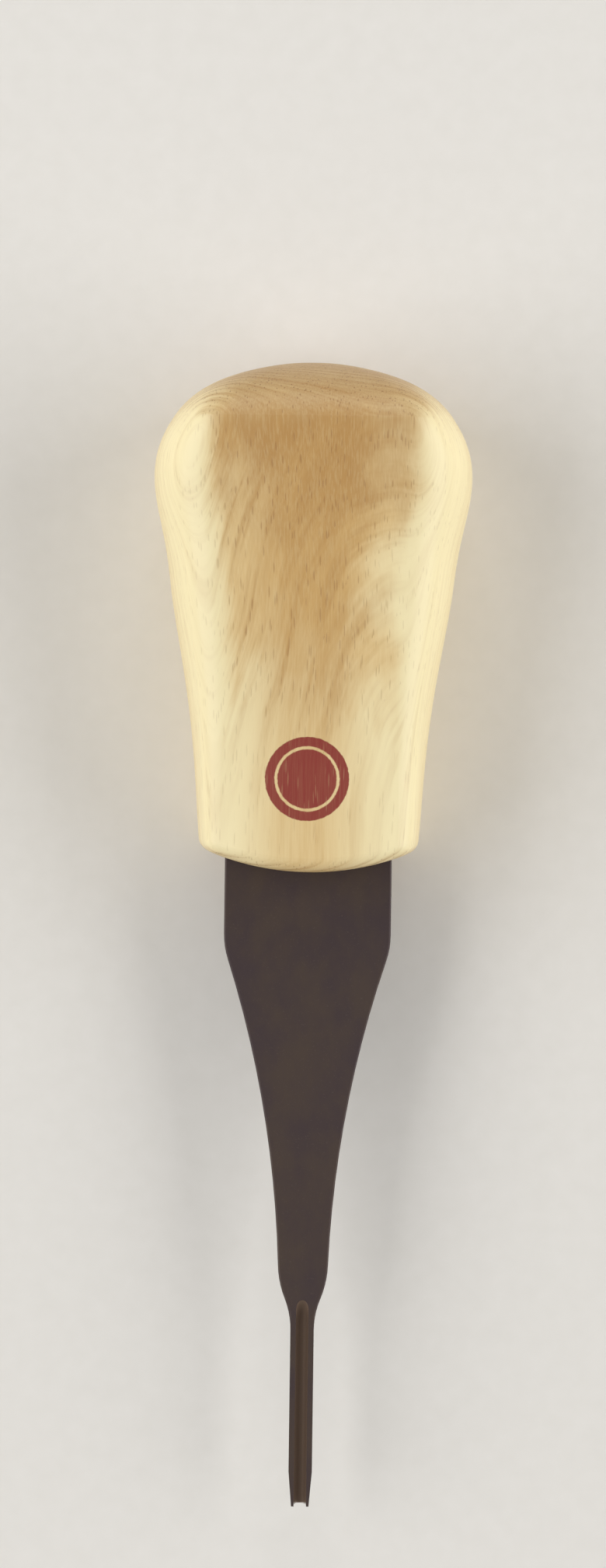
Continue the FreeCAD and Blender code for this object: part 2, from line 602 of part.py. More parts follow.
def cut_nose(body, volume):
    """The raked end: the two wings of the channel lead its bottom a little."""
    rake = new_sketch(body, "NoseRake", "YZ_Plane")
    tip_y = worth(TIP)
    back_y = worth(f"{TIP} + Sizes.nose_rake")
    high = worth(PLATE_TOP)
    low = worth(PLATE_BOTTOM)
    slant = line(rake, (tip_y, high), (back_y, low))
    floor = line(rake, (back_y, low), (tip_y, low))
    rise = line(rake, (tip_y, low), (tip_y, high))
    chain(rake, [slant, floor, rise])
    tie(rake, "Horizontal", floor)
    tie(rake, "Vertical", rise)
    bind(rake, "DistanceX", (*ORIGIN, slant, START), TIP)
    bind(rake, "DistanceY", (*ORIGIN, slant, START), PLATE_TOP)
    bind(rake, "DistanceX", (floor, END, floor, START), "Sizes.nose_rake")
    bind(rake, "DistanceY", (*ORIGIN, floor, START), PLATE_BOTTOM)
    nose_cut = body.newObject("PartDesign::Pocket", "NoseCut")
    nose_cut.Profile = rake
    nose_cut.Type = "Length"
    nose_cut.SideType = "Symmetric"
    nose_cut.setExpression("Length", "2 * Sizes.shank_half_width")
    volume_after(nose_cut, volume, False)


def build_blade():
    """Steel blade: a plate with tang, shank, hollow taper and shoulders, then a channelled stem."""
    body = new_body("blade")
    volume = add_plate(body)
    volume = add_stem(body, volume)
    volume = cut_channel(body, volume)
    cut_nose(body, volume)
    return body


def build_epoxy(blade):
    """Epoxy that fills the slot all round the tang and the two holes through it."""
    fill = doc.addObject("Part::Box", "SlotFill")
    fill.setExpression("Length", f"2 * {SLOT_HALF_WIDTH}")
    fill.setExpression("Width", "Sizes.tang_length + Sizes.bond_gap - Sizes.glue_recess")
    fill.setExpression("Height", SLOT_HEIGHT)
    fill.setExpression("Placement.Base.x", f"-{SLOT_HALF_WIDTH}")
    fill.setExpression("Placement.Base.y", behind("glue_recess"))
    fill.setExpression("Placement.Base.z", SLOT_BOTTOM)
    epoxy = doc.addObject("Part::Cut", "tang_epoxy")
    epoxy.Label = "tang_epoxy"
    epoxy.Base = fill
    epoxy.Tool = blade
    return epoxy


handle = build_handle()
blade = build_blade()
tang_epoxy = build_epoxy(blade)
doc.recompute()

for item in doc.Objects:
    if "Invalid" in item.State or "Error" in item.State:
        raise RuntimeError(f"{item.Name} failed: {item.State}")
os.makedirs("parts", exist_ok=True)
for node in (handle, blade, tang_epoxy):
    if node.Shape.isNull() or not node.Shape.isValid():
        raise RuntimeError(f"{node.Label} has no valid shape")
    node.Shape.exportStep(f"parts/{node.Label}.step")
    print(f"{node.Label}: {len(node.Shape.Solids)} solid, {len(node.Shape.Faces)} faces, "
          f"{node.Shape.Volume:.0f} cubic mm")
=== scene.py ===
# %% [markdown]
# # A palm gouge
#
# This notebook dresses a small carving tool: a short ash handle that fills the palm, and a flat
# spring-steel blade that tapers to a narrow stem with a U-shaped channel. The solids come from the
# workshop drawing, in metres, with the tip towards -Y, the butt towards +Y and the flat underside
# on the floor. Here they get their finishes, their light and their camera.

# %% Load the solids
import math

import bpy
from mathutils import Matrix, Vector


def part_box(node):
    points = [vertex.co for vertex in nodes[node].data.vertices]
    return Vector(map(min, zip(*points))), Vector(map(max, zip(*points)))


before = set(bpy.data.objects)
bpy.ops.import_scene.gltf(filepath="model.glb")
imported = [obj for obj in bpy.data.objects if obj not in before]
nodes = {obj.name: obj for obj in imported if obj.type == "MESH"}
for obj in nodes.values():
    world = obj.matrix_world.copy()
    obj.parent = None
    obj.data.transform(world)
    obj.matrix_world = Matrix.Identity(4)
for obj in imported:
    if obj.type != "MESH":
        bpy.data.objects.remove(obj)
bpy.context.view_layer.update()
MM = 0.001

for name in sorted(nodes):
    low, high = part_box(name)
    size = [round((b - a) / MM, 2) for a, b in zip(low, high)]
    print(f"{name}: {size} mm, {len(nodes[name].data.polygons)} faces")

# %% [markdown]
# ## The places that the finishes refer to
#
# A finish often starts or ends at a form: the ink sits on the flat top, the honing ends at the
# bevel. Such places could be typed as numbers, but then they would stay behind when the drawing
# changes. They are read from the boxes of the solids instead, and only what is inside a box, such
# as the length of the bevel, is a number of its own.

# %% Measure the solids
handle_low, handle_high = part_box("handle")
blade_low, blade_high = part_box("blade")
FRONT_Y = handle_low.y / MM
BUTT_Y = handle_high.y / MM
TOP_Z = handle_high.z / MM
TIP_Y = blade_low.y / MM
PLATE_TOP_Z = blade_high.z / MM
print(f"front of the wood at {FRONT_Y:.1f} mm, butt at {BUTT_Y:.1f} mm, tip at {TIP_Y:.1f} mm")

# %% [markdown]
# ## Writing a material as sums
#
# A procedural finish is a net of small nodes. Wiring each by hand hides the idea in the wires, so
# the class below wraps a socket: a sum on it adds the Math node that the sum needs, and one
# method makes every other node. Sums of plain numbers stay in Python and cost nothing.

# %% A socket that sums can be written with
class Wire:
    """One socket of a material's node tree."""

    def __init__(self, tree, socket=None):
        self.tree = tree
        self.socket = socket

    def node(self, kind, settings, values, output=0):
        """Add a node: its settings first, then the values or wires of its sockets."""
        made = self.tree.nodes.new(kind)
        for setting, value in settings.items():
            setattr(made, setting, value)
        for name, value in values.items():
            if isinstance(value, Wire):
                self.tree.links.new(value.socket, made.inputs[name])
            else:
                made.inputs[name].default_value = value
        return Wire(self.tree, made.outputs[output])

    def beside(self, output):
        """Another output of the node that this wire starts at."""
        return Wire(self.tree, self.socket.node.outputs[output])

    def math(self, operation, *values):
        return self.node("ShaderNodeMath", {"operation": operation}, dict(enumerate(values)))

    def __add__(self, other):
        return self.math("ADD", self, other)

    __radd__ = __add__

    def __mul__(self, other):
        return self.math("MULTIPLY", self, other)

    __rmul__ = __mul__

    def __sub__(self, other):
        return self.math("SUBTRACT", self, other)

    def __rsub__(self, other):
        return self.math("SUBTRACT", other, self)

    def __truediv__(self, other):
        return self.math("DIVIDE", self, other)

    def __rtruediv__(self, other):
        return self.math("DIVIDE", other, self)

    def __pow__(self, other):
        return self.math("POWER", self, other)

    def __rpow__(self, other):
        return self.math("POWER", other, self)

    def __abs__(self):
        return self.math("ABSOLUTE", self)

    def at_most(self, other):
        return self.math("MINIMUM", self, other)

    def at_least(self, other):
        return self.math("MAXIMUM", self, other)

    def rise(self, low, high):
        """0 below low, 1 above high and a smooth step between; it falls where low is above high."""
        start, end, first, last = (low, high, 0.0, 1.0) if low < high else (high, low, 1.0, 0.0)
        return self.node("ShaderNodeMapRange", {"interpolation_type": "SMOOTHSTEP"},
                         {0: self, 1: start, 2: end, 3: first, 4: last})

    def blend(self, first, last):
        """A colour that goes from first to last as this wire goes from 0 to 1."""
        return self.node("ShaderNodeMix", {"data_type": "RGBA"},
                         {0: self, 6: first, 7: last}, output=2)


def colour(red, green, blue):
    """A colour written as it looks on screen, 0 to 255, turned into light."""
    def light(channel):
        share = channel / 255
        return share / 12.92 if share <= 0.04045 else ((share + 0.055) / 1.055) ** 2.4
    return (light(red), light(green), light(blue), 1.0)


print("colour(128, 128, 128) is", [round(value, 3) for value in colour(128, 128, 128)])

# %% [markdown]
# ## Where a pattern reads its place
#
# A pattern needs coordinates that stay on the piece. Generated ones stretch with the box, and
# camera ones slide when the view turns. Object coordinates are metres in the drawing's own frame,
# so one grain runs through the whole block of wood, round every edge and into the slot, as real
# grain does. They are turned into millimetres once, because every size below is a workshop size.

# %% Start a finish
def start_finish(name):
    """A new material with its shader, and the place on the piece in millimetres."""
    material = bpy.data.materials.new(name)
    material.use_nodes = True
    shader = material.node_tree.nodes["Principled BSDF"]
    blank = Wire(material.node_tree)
    place = blank.node("ShaderNodeTexCoord", {}, {}, output="Object")
    place = blank.node("ShaderNodeVectorMath", {"operation": "SCALE"}, {0: place, "Scale": 1 / MM})
    return material, shader, place


def split(place):
    """The three coordinates of a place, each on a wire of its own."""
    first = place.node("ShaderNodeSeparateXYZ", {}, {0: place})
    return [first.beside(axis) for axis in range(3)]


def plug(shader, **values):
    """Set a shader's sockets: a wire is linked, a number or colour is set on the socket."""
    for name, value in values.items():
        socket = shader.inputs[name.replace("_", " ")]
        if isinstance(value, Wire):
            value.tree.links.new(value.socket, socket)
        else:
            socket.default_value = value


print("finishes read Object coordinates in mm")

# %% [markdown]
# Most textures below are noise or cells that are much longer one way than another. Their sizes are
# given as cells per millimetre along each axis, so a small number is a long cell. A surface that
# isn't quite smooth gets a bump from a height, whose depth is a workshop size too.

# %% Stretched textures and bumps
def stretched(place, per_mm):
    """The place in cells per millimetre along X, Y and Z, for a texture that reads it."""
    return place.node("ShaderNodeVectorMath", {"operation": "MULTIPLY"}, {0: place, 1: per_mm})


def noise(place, per_mm, detail=2.0, roughness=0.5):
    """Soft noise from 0 to 1 about 0.5, with its cells stretched along the axes."""
    return place.node("ShaderNodeTexNoise", {"noise_dimensions": "3D"},
                      {"Vector": stretched(place, per_mm), "Scale": 1.0, "Detail": detail,
                       "Roughness": roughness})


def cells(place, per_mm):
    """Distance to the middle of the nearest cell; each cell has a random colour beside it."""
    return place.node("ShaderNodeTexVoronoi", {"feature": "F1"},
                      {"Vector": stretched(place, per_mm), "Scale": 1.0, "Randomness": 1.0})


def dented(height, strength, depth_mm):
    """A normal that follows a height."""
    return height.node("ShaderNodeBump", {}, {"Strength": strength, "Distance": depth_mm * MM,
                                               "Height": height})


print("textures are sized in cells per mm")

# %% [markdown]
# ## Ash, sawn and lacquered
#
# Ash is ring-porous. Each year starts with a band of large open pores, which look like short dark
# dashes along the grain, and ends with dense smooth wood. Where the flat top cuts the rings at a
# small angle, the years sweep across it in long curves. A painted stripe could fake that on one
# side only. Here the rings are real tubes about a pith that lies a little below the block, as in a
# board sawn near the middle of a slim trunk. The pith slants, bends and sways a little, as in a
# living stem. So the same sums give long curves on the flat, straight lines on the sides and arcs
# on both ends.

# %% The rings of the tree
YEAR = 0.85
PITH_X, PITH_Z = 9.1, -20.0
PITH_RISE, PITH_BEND = 0.102, 0.0015
SWAY_X, SWAY_X_CELLS = 3.0, (0.05, 0.022, 0.05)
SWAY_Z, SWAY_Z_CELLS = 1.6, (0.045, 0.018, 0.045)
EARLY_FADES, EARLY_RETURNS = (0.55, 0.0), (0.9, 1.0)


def growth_rings(place):
    """Distance from the pith, and a place that runs across, along and round the rings, in mm."""
    x, y, z = split(place)
    behind_front = y - FRONT_Y
    across = x - PITH_X + (noise(place, SWAY_X_CELLS) - 0.5) * SWAY_X
    up = (z - PITH_Z + behind_front * (behind_front * PITH_BEND - PITH_RISE)
          + (noise(place, SWAY_Z_CELLS) - 0.5) * SWAY_Z)
    radius = (across * across + up * up) ** 0.5
    round_ring = up.math("ARCTAN2", across, up) * (TOP_Z - PITH_Z)
    return radius, place.node("ShaderNodeCombineXYZ", {}, {0: radius, 1: y, 2: round_ring})


def early_wood(radius):
    """1 where a year starts, falling to 0 in its dense late wood."""
    years = radius / YEAR
    share = years.math("FRACT", years)
    return share.rise(*EARLY_FADES) + share.rise(*EARLY_RETURNS)


print(f"years {YEAR} mm wide, pith {-PITH_Z:.0f} mm below the floor at the front")

# %% [markdown]
# Bands, streaks, lines and fibres are all the same idea at different sizes: a noise whose cells
# are long along the grain. Bands, streaks and lines are also wide round the rings, so they follow
# each curve of the years. Fibres are round across the grain: hairs on the sides, dots on the ends.
# Blotches don't follow the rings: they stand for how unevenly a board takes up its finish.

# %% The figure at five sizes
FIGURE = {
    "bands": {"per_mm": (0.50, 0.010, 0.02)},
    "streaks": {"per_mm": (2.2, 0.045, 0.06), "detail": 3.0, "roughness": 0.65},
    "lines": {"per_mm": (5.0, 0.06, 0.15), "roughness": 0.6},
    "fibres": {"per_mm": (5.5, 0.14, 5.5), "roughness": 0.6},
}
BLOTCHES = {"per_mm": (0.30, 0.16, 0.30), "detail": 3.0}


def wood_figure(place, rings):
    """The five noises by name."""
    figure = {name: noise(rings, **sizes) for name, sizes in FIGURE.items()}
    figure["blotches"] = noise(place, **BLOTCHES)
    return figure


print("figure:", ", ".join(FIGURE), "and blotches")

# %% [markdown]
# The pores are cells of a Voronoi texture, round across the grain and long along it. Only some
# cells are open, and more of them early in the year: each cell has a random colour, and its red
# is the chance that is compared with how early in the year the cell lies.

# %% The pores of the wood
PORE_CELLS = (3.4, 0.34, 3.4)
PORE_EDGE = (0.38, 0.18)
OPEN_LATE, OPEN_EARLY, OPEN_SOFT = 0.24, 0.50, 0.04


def open_pores(rings, early):
    """1 inside an open pore, 0 in the wood between."""
    near = cells(rings, PORE_CELLS)
    chance = split(near.beside("Color"))[0]
    is_open = (early * OPEN_EARLY + OPEN_LATE - chance).rise(-OPEN_SOFT, OPEN_SOFT)
    return near.rise(*PORE_EDGE) * is_open


print(f"pores {1 / PORE_CELLS[1]:.1f} mm apart along the grain, {1 / PORE_CELLS[0]:.2f} across")

# %% [markdown]
# Where the wood is brown and where it is pale is drawn with masks, each a number from 0 to 1. All
# their places are millimetres behind the front of the wood, across it from the middle, or above
# the floor. The first is the brown heart. It covers the flat towards the butt, fingers out along
# the grain towards the front, and leaves a patch of pale sapwood on the right.

# %% Where the heart of the wood lies
HEART_MIDDLE, HEART_HALF, HEART_WIDENS = 0.6, 9.2, 3.2
WIDENING = (12.0, 50.0)
BORDER_SOFT, BORDER_SOFTER = 2.2, 2.8
HEART_START, HEART_REACH = 20.0, 13.0
HEART_RAGGED = {"bands": 2.2, "streaks": 1.0, "blotches": 1.2}
HEART_EDGE = (-0.9, 0.9)
SAPWOOD_ACROSS, SAPWOOD_BACK, SAPWOOD_FRONT = (1.0, 9.0), (46.0, 38.0), (25.0, 33.0)
SAPWOOD = 1.2
DOME, DOME_RAGGED = (52.5, 57.5), 4.0


def heartwood(x, behind_front, figure):
    """Masks for the heart, for how far inside its border a place is, and for the butt's dome."""
    dome = (behind_front + (figure["blotches"] - 0.5) * DOME_RAGGED).rise(*DOME)
    half_width = behind_front.rise(*WIDENING) * HEART_WIDENS + HEART_HALF
    inside = (half_width - abs(x - HEART_MIDDLE)) / (BORDER_SOFT + dome * BORDER_SOFTER)
    ragged = inside.at_most((behind_front - HEART_START) / HEART_REACH)
    for name, share in HEART_RAGGED.items():
        ragged = ragged + (figure[name] - 0.5) * share
    sapwood = (x.rise(*SAPWOOD_ACROSS) * behind_front.rise(*SAPWOOD_BACK)
               * behind_front.rise(*SAPWOOD_FRONT))
    return (ragged - sapwood * SAPWOOD).rise(*HEART_EDGE), inside, dome


print(f"heart {2 * HEART_HALF:.0f} to {2 * (HEART_HALF + HEART_WIDENS):.0f} mm wide on the flat")

# %% [markdown]
# The other masks are simpler. A darker core runs down the middle. Just before the dome the flat
# turns tan, partly deeper wood and partly painted shade. The edges of the flat and the dome are
# painted paler, a painted light where they turn towards the lamps, less at the left end of the
# crease, which keeps a painted shade. The sides are plainer than the flat.
# The ends are told by which way the surface faces: sawn grain soaks up more lacquer there and
# looks darker.

# %% Light and dark places on the handle
MIDDLE_AT, MIDDLE_ACROSS = -0.5, (11.0, 1.0)
CORE_AT, CORE_ACROSS, CORE_ALONG = -0.8, (9.0, 2.0), (10.0, 26.0)
# The tan before the dome is partly deeper wood and partly painted shade near the crease.
DEEP_ALONG, DEEP_INSIDE, DEEP_ABOVE = (30.0, 54.0), (-0.7, 1.0), (3.0, 13.0)
# The pale edges of the flat are painted light, not a tone of the wood.
EDGE_LIGHT_AT, EDGE_LIGHT_ACROSS = 0.5, (3.0, 10.0)
CREASE_LEFT, CREASE_ALONG, CREASE_SHADE = (2.0, -2.0), (46.0, 52.0), 0.8
LOW = (TOP_Z * 0.78, TOP_Z * 0.45)
SAWN_FACING = (0.30, 1.0)


def wood_places(place, figure):
    """Masks from 0 to 1 by name, for the layers of colour."""
    x, y, z = split(place)
    behind_front = y - FRONT_Y
    heart, inside, dome = heartwood(x, behind_front, figure)
    facing = place.node("ShaderNodeTexCoord", {}, {}, output="Normal")
    sawn = abs(split(facing)[1]).rise(*SAWN_FACING)
    low = z.rise(*LOW)
    shaded_crease = x.rise(*CREASE_LEFT) * behind_front.rise(*CREASE_ALONG) * CREASE_SHADE
    return {
        "heart": heart,
        "middle": abs(x - MIDDLE_AT).rise(*MIDDLE_ACROSS),
        "core": abs(x - CORE_AT).rise(*CORE_ACROSS) * behind_front.rise(*CORE_ALONG),
        "deep": behind_front.rise(*DEEP_ALONG) * inside.rise(*DEEP_INSIDE) * z.rise(*DEEP_ABOVE),
        "dome": dome,
        "edges": abs(x - EDGE_LIGHT_AT).rise(*EDGE_LIGHT_ACROSS) * (1 - dome) * (1 - shaded_crease),
        "low": low,
        "sawn": sawn,
        "plain": low + sawn,
    }


print(f"core {2 * CORE_ACROSS[0]:.0f} mm wide, sides plain below z = {LOW[1]:.1f} mm")

# %% [markdown]
# The colour is laid down like the wood itself: a cream ground with the honey heart on it, then
# tan streaks, lines and years, pale fibres and last the dark pores. Each layer is a mask and the
# colour that it brings, so the layers are a list that one loop blends from the bottom up. How
# strongly a layer shows is one share anywhere and more at the places that are named.

# %% The layers of colour
CREAM = colour(243, 229, 183)
HONEY = colour(212, 176, 116)
TAN = colour(178, 136, 80)
PORE = colour(146, 104, 62)
MIDDLE_STREAKED, MIDDLE_PLAIN = 0.5, 0.45
CORE_STREAKED, CORE_PLAIN = 0.6, 0.10
HEART_BLOTCHED, DEEP_SHARE, FIBRES_SHARE = 1.1, 0.75, 0.12
STREAKS_SHOW, LINES_SHOW = (0.44, 0.72), (0.50, 0.78)
YEARS_SHOW, FIBRES_SHOW = (0.35, 0.65), (0.60, 0.30)


def strength(places, anywhere=0.0, **shares):
    """The share of a layer anywhere, and what is added to it at the named places."""
    return sum((places[name] * share for name, share in shares.items()), anywhere)


def wood_colour(places, figure, early, pores):
    """The colour of the bare wood, from the bottom layer up."""
    streaks, heart = figure["streaks"], places["heart"]
    middle = places["middle"] * (streaks * MIDDLE_STREAKED + MIDDLE_PLAIN)
    brown = heart.at_least(middle).at_least(strength(places, low=0.35, sawn=0.5))
    blotched = (figure["blotches"] - 0.5) * HEART_BLOTCHED * heart
    core = places["core"] * (streaks * CORE_STREAKED + CORE_PLAIN)
    in_streaks = strength(places, 0.10, heart=0.30, deep=0.30, plain=0.16)
    layers = (
        (brown, HONEY),
        # Tan before the dome: partly deeper wood, partly painted shade near the crease.
        ((places["deep"] * DEEP_SHARE + blotched).rise(0.0, 1.0), TAN),
        (core * strength(places, 1.0, deep=0.3), TAN),
        # Painted light: the edges of the flat and the butt's dome are made paler.
        (strength(places, edges=0.24, dome=0.20), CREAM),
        (streaks.rise(*STREAKS_SHOW) * in_streaks, TAN),
        (figure["lines"].rise(*LINES_SHOW) * strength(places, 0.10, heart=0.16, plain=0.12), TAN),
        (early * streaks.rise(*YEARS_SHOW) * strength(places, 0.08, heart=0.22, low=0.24), TAN),
        (early * strength(places, sawn=0.55), TAN),
        (figure["fibres"].rise(*FIBRES_SHOW) * FIBRES_SHARE, CREAM),
        (pores * strength(places, 0.14, heart=0.28, low=0.10, sawn=0.45), PORE),
    )
    wood = CREAM
    for mask, shade in layers:
        wood = mask.blend(wood, shade)
    return wood


print("wood colours: cream, honey, tan and pore brown")

# %% [markdown]
# The ink on the flat is a plain round dot with a thin bare ring in it. It could be a decal mesh
# floating over the wood, but a pad-printed mark has no thickness and sinks into the pores, so it
# is a mask in the wood's own colour: the grain still shows faintly through it.

# %% The printed dot
INK = colour(136, 55, 50)
DOT_X, DOT_Y = -0.3, FRONT_Y + 11.1
DOT_RADIUS, DOT_SOFT = 5.0, 0.06
BARE_RADIUS, BARE_HALF, BARE_SOFT = 3.7, 0.17, 0.07
INK_CREEP, CREEP_CELLS = 0.16, (2.4, 2.4, 2.4)
DOT_ABOVE = (TOP_Z * 0.60, TOP_Z * 0.62)


def printed_dot(place):
    """1 where the top carries ink, 0 on bare wood."""
    x, y, z = split(place)
    across, along = x - DOT_X, y - DOT_Y
    from_middle = (across * across + along * along) ** 0.5
    ragged = from_middle + (noise(place, CREEP_CELLS) - 0.5) * INK_CREEP
    disc = ragged.rise(DOT_RADIUS + DOT_SOFT, DOT_RADIUS - DOT_SOFT)
    bare = abs(ragged - BARE_RADIUS).rise(BARE_HALF + BARE_SOFT, BARE_HALF - BARE_SOFT)
    return disc * (1 - bare) * z.rise(*DOT_ABOVE)


print(f"ink dot {2 * DOT_RADIUS:.0f} mm across, {DOT_Y - FRONT_Y:.1f} mm behind the front")

# %% [markdown]
# The lacquer is thin and satin, so it is the shader's own coat at about a third of its weight,
# smooth over wood that is a little rough. Little of that gloss is left on the ink. Fibres and
# pores dent the surface slightly.

# %% Lacquered ash
WOOD_ROUGH, FIBRES_ROUGH = 0.44, 0.12
LACQUER, LACQUER_LOST_IN_INK = 0.35, 0.28
INK_COVERS, INK_FIBRES, FIBRES_IN_INK, PORES_IN_INK = 0.985, (0.35, 0.7), 0.05, 0.15
FIBRES_HEIGHT, GRAIN_BUMP, GRAIN_DEPTH = 0.15, 0.25, 0.05


def lacquered_ash():
    """The handle's finish: rings, figure, pores, ink and lacquer."""
    material, shader, place = start_finish("lacquered_ash")
    radius, rings = growth_rings(place)
    early = early_wood(radius)
    figure = wood_figure(place, rings)
    fibres = figure["fibres"]
    pores = open_pores(rings, early)
    wood = wood_colour(wood_places(place, figure), figure, early, pores)
    ink = printed_dot(place)
    covers = INK_COVERS - fibres.rise(*INK_FIBRES) * FIBRES_IN_INK - pores * PORES_IN_INK
    plug(shader, Base_Color=(ink * covers).blend(wood, INK),
         Roughness=fibres * FIBRES_ROUGH + WOOD_ROUGH, Specular_IOR_Level=0.15,
         Coat_Weight=LACQUER - ink * LACQUER_LOST_IN_INK, Coat_Roughness=0.30, Coat_IOR=1.5,
         Normal=dented(fibres * FIBRES_HEIGHT - pores, GRAIN_BUMP, GRAIN_DEPTH))
    return material


nodes["handle"].material_slots[0].material = lacquered_ash()
print("handle:", nodes["handle"].material_slots[0].material.name)

# %% [markdown]
# ## Hardened spring steel
#
# Only the tip of the blade is ground, so the bevel and the last half millimetre of the channel are
# bright, and the rest keeps the dark skin that hardening gives it. The two could be two materials
# with a hard line between. One material with masks along the blade lets the honing fade out.

# %% Where the blade has been ground
BEVEL, BEVEL_FADE, BEVEL_BELOW = 4.2, (0.25, -0.05), (0.04, 0.12)
CHANNEL_HALF, CHANNEL_DEEP = 0.75, 1.2
SIDE_FADE, TOP_FADE, BOTTOM_FADE = (0.10, 0.03), (0.01, 0.06), (0.12, 0.05)
CHANNEL_HONED = (0.5, 0.2)


def near_to(place, fade):
    """The start and end of a mask that changes near a place."""
    return [place + offset for offset in fade]


def ground_steel(place):
    """Masks for the inside of the channel and for where the skin is honed away."""
    x, y, z = split(place)
    behind_tip, below_top = y - TIP_Y, PLATE_TOP_Z - z
    channel = (abs(x).rise(*near_to(CHANNEL_HALF, SIDE_FADE)) * below_top.rise(*TOP_FADE)
               * below_top.rise(*near_to(CHANNEL_DEEP, BOTTOM_FADE)))
    bevel = behind_tip.rise(*near_to(BEVEL, BEVEL_FADE)) * below_top.rise(*BEVEL_BELOW)
    return channel, bevel * (1 - channel) + channel * behind_tip.rise(*CHANNEL_HONED)


print(f"bevel {BEVEL} mm long, channel {2 * CHANNEL_HALF} mm wide")

# %% [markdown]
# The skin is a brown-grey oxide, cloudy from the quench, with pale specks, over faint lines from
# rolling. Inside the channel it is painted lighter, a painted light that lifts the shade of the
# hollow. Honing takes it off and leaves fine scratches across the blade, which only the bump shows.

# %% Dark steel, honed at the tip
SKIN_WARM, SKIN_COOL, CLOUDS_SHOW = colour(70, 58, 51), colour(61, 50, 52), (0.25, 0.75)
SPECK, SPECKS_SHOW, SPECK_SHARE = colour(102, 90, 80), (0.62, 0.78), 0.22
# The channel's lighter skin is painted light that lifts the shade in the hollow.
CHANNEL_PAINTED_LIGHT, CHANNEL_LIGHT_SHARE = colour(124, 104, 88), 0.8
BRIGHT = colour(196, 194, 190)
STEEL_FIGURE = {
    "clouds": {"per_mm": (0.22, 0.14, 0.22), "detail": 4.0, "roughness": 0.6},
    "lines": {"per_mm": (9.0, 0.25, 9.0), "detail": 3.0, "roughness": 0.6},
    "specks": {"per_mm": (5.0, 5.0, 5.0)},
    "scratches": {"per_mm": (2.0, 14.0, 2.0), "detail": 3.0, "roughness": 0.7},
}
SKIN_METAL, HONED_METAL = 0.25, 0.7
SKIN_ROUGH, LINES_ROUGH, HONED_SMOOTH = 0.5, 0.16, 0.2
LINES_HEIGHT, SPECKS_HEIGHT, STEEL_BUMP, STEEL_DEPTH = 0.6, 0.4, 0.3, 0.02


def hardened_steel():
    """The blade's finish: dark skin, bright where it is honed."""
    material, shader, place = start_finish("hardened_steel")
    figure = {name: noise(place, **sizes) for name, sizes in STEEL_FIGURE.items()}
    lines, specks = figure["lines"], figure["specks"]
    channel, honed = ground_steel(place)
    skin = figure["clouds"].rise(*CLOUDS_SHOW).blend(SKIN_WARM, SKIN_COOL)
    skin = (specks.rise(*SPECKS_SHOW) * SPECK_SHARE).blend(skin, SPECK)
    # Painted light: the inside of the channel is made lighter to lift its shade.
    skin = (channel * CHANNEL_LIGHT_SHARE).blend(skin, CHANNEL_PAINTED_LIGHT)
    height = lines * LINES_HEIGHT + specks * SPECKS_HEIGHT + figure["scratches"] * honed
    plug(shader, Base_Color=honed.blend(skin, BRIGHT), Metallic=honed * HONED_METAL + SKIN_METAL,
         Roughness=(lines - 0.5) * LINES_ROUGH + SKIN_ROUGH - honed * HONED_SMOOTH,
         Specular_IOR_Level=0.25, Normal=dented(height, STEEL_BUMP, STEEL_DEPTH))
    return material


nodes["blade"].material_slots[0].material = hardened_steel()
print("blade:", nodes["blade"].material_slots[0].material.name)

# %% [markdown]
# ## The bond
#
# Two-part epoxy fills the slot round the tang. Almost none of it shows, only a dull amber line
# deep in the slot's mouth, but a view from the front reaches it, so it gets a finish too: cloudy
# with tiny bubbles.

# %% Cured epoxy
AMBER_DARK, AMBER_LIGHT = colour(176, 150, 98), colour(200, 180, 132)
CLOUD_CELLS, CLOUD_ROUGH, AMBER_ROUGH = (0.6, 0.6, 0.6), 0.2, 0.35
BUBBLE, BUBBLE_SHARE = colour(226, 214, 184), 0.4
BUBBLE_CELLS, BUBBLE_EDGE = (3.0, 3.0, 3.0), (0.16, 0.10)
BUBBLE_BUMP, BUBBLE_DEPTH = 0.3, 0.05


def cured_epoxy():
    """The bond's finish: cloudy amber with pale bubbles."""
    material, shader, place = start_finish("cured_epoxy")
    cloud = noise(place, CLOUD_CELLS, detail=3.0)
    bubbles = cells(place, BUBBLE_CELLS).rise(*BUBBLE_EDGE)
    amber = cloud.blend(AMBER_DARK, AMBER_LIGHT)
    plug(shader, Base_Color=(bubbles * BUBBLE_SHARE).blend(amber, BUBBLE),
         Roughness=cloud * CLOUD_ROUGH + AMBER_ROUGH,
         Normal=dented(bubbles, BUBBLE_BUMP, BUBBLE_DEPTH))
    return material


nodes["tang_epoxy"].material_slots[0].material = cured_epoxy()
print("tang_epoxy:", nodes["tang_epoxy"].material_slots[0].material.name)

# %% [markdown]
# ## Floor and light
#
# A tool on a table is seen best on plain pale paper. The floor is one big square of it. It is a
# little off white, because pure white would clip under the lamps, and quite matt, so that no glare
# lies on it.

# %% The floor
FLOOR_HALF = 2.0
PAPER_DARK, PAPER_LIGHT = colour(226, 223, 217), colour(232, 229, 224)
FLECK_CELLS = (0.4, 0.4, 0.4)
bpy.ops.mesh.primitive_plane_add(size=2 * FLOOR_HALF)
floor = bpy.context.object
floor.name = "paper_floor"
paper, paper_shader, paper_place = start_finish("paper")
fleck = noise(paper_place, FLECK_CELLS, detail=3.0)
plug(paper_shader, Base_Color=fleck.blend(PAPER_DARK, PAPER_LIGHT), Roughness=0.9,
     Specular_IOR_Level=0.0)
floor.data.materials.append(paper)
print("floor at z = 0,", 2 * FLOOR_HALF, "m wide")

